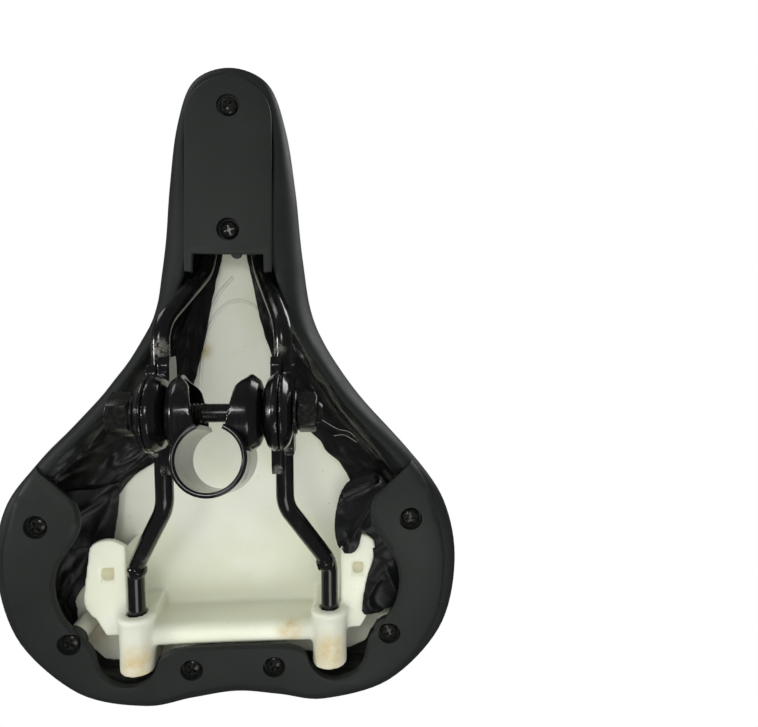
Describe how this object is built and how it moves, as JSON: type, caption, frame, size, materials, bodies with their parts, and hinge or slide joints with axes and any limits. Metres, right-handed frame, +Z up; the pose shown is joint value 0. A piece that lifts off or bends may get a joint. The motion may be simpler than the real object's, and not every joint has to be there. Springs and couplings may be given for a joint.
{
  "type": "bicycle saddle",
  "caption": "Padded bicycle saddle on a bent-wire rail, with a plastic shell and a strap clamp that fits round a seatpost.",
  "frame": {"origin": "centre of the seatpost band, on the seatpost's axis", "axes": "+Z up, -Y towards the saddle's nose, +X to the right of the saddle seen from above with the nose at the bottom; the clamp bolt lies along X"},
  "size_m": [0.185, 0.2675, 0.0952],
  "materials": {
    "cover_leather": "matte synthetic leather with smoother lengthwise stripes and one red stripe",
    "foam": "soft polyurethane foam",
    "shell_plastic": "translucent ivory polypropylene",
    "black_plastic": "matte, finely textured",
    "rail_paint": "gloss black, scuffed",
    "clamp_paint": "gloss black, scuffed",
    "black_steel": "black, semi-gloss"
  },
  "bodies": {
    "post_band": {"seatpost_band": "clamp_paint"},
    "clamp_head": {"clamp_bolt": "black_steel", "inner_plate_left": "clamp_paint", "inner_plate_right": "clamp_paint", "outer_plate_left": "clamp_paint", "washer_left": "black_steel"},
    "release_plate": {"outer_plate_right": "clamp_paint", "washer_right": "black_steel"},
    "nut": {"clamp_nut": "black_steel"},
    "saddle": {"cover": "cover_leather", "foam_pad": "foam", "shell": "shell_plastic", "nose_cover": "black_plastic", "rear_cover": "black_plastic", "rail": "rail_paint", "nose_screw_front": "black_steel", "nose_screw_rear": "black_steel", "rear_screw_1": "black_steel", "rear_screw_2": "black_steel", "rear_screw_3": "black_steel", "rear_screw_4": "black_steel", "rear_screw_5": "black_steel", "rear_screw_6": "black_steel"}
  },
  "joints": [
    {"name": "tilt", "type": "hinge", "parent": "post_band", "child": "clamp_head", "pos_m": [0, -0.01608, 0.00371], "axis": [1, 0, 0], "range_deg": [-15, 15]},
    {"name": "saddle_slide", "type": "slide", "parent": "clamp_head", "child": "saddle", "axis": [0, 1, 0], "range_m": [-0.0075, 0.004]},
    {"name": "plate_release", "type": "slide", "parent": "clamp_head", "child": "release_plate", "axis": [1, 0, 0], "range_m": [0, 0.0026]},
    {"name": "nut_turn", "type": "hinge", "parent": "release_plate", "child": "nut", "pos_m": [0, -0.01608, 0.00371], "axis": [1, 0, 0], "range_deg": [0, 720]}
  ],
  "couplings": [
    {"joint": "plate_release", "follows": "nut_turn", "m_per_rad": 0.00019894}
  ]
}
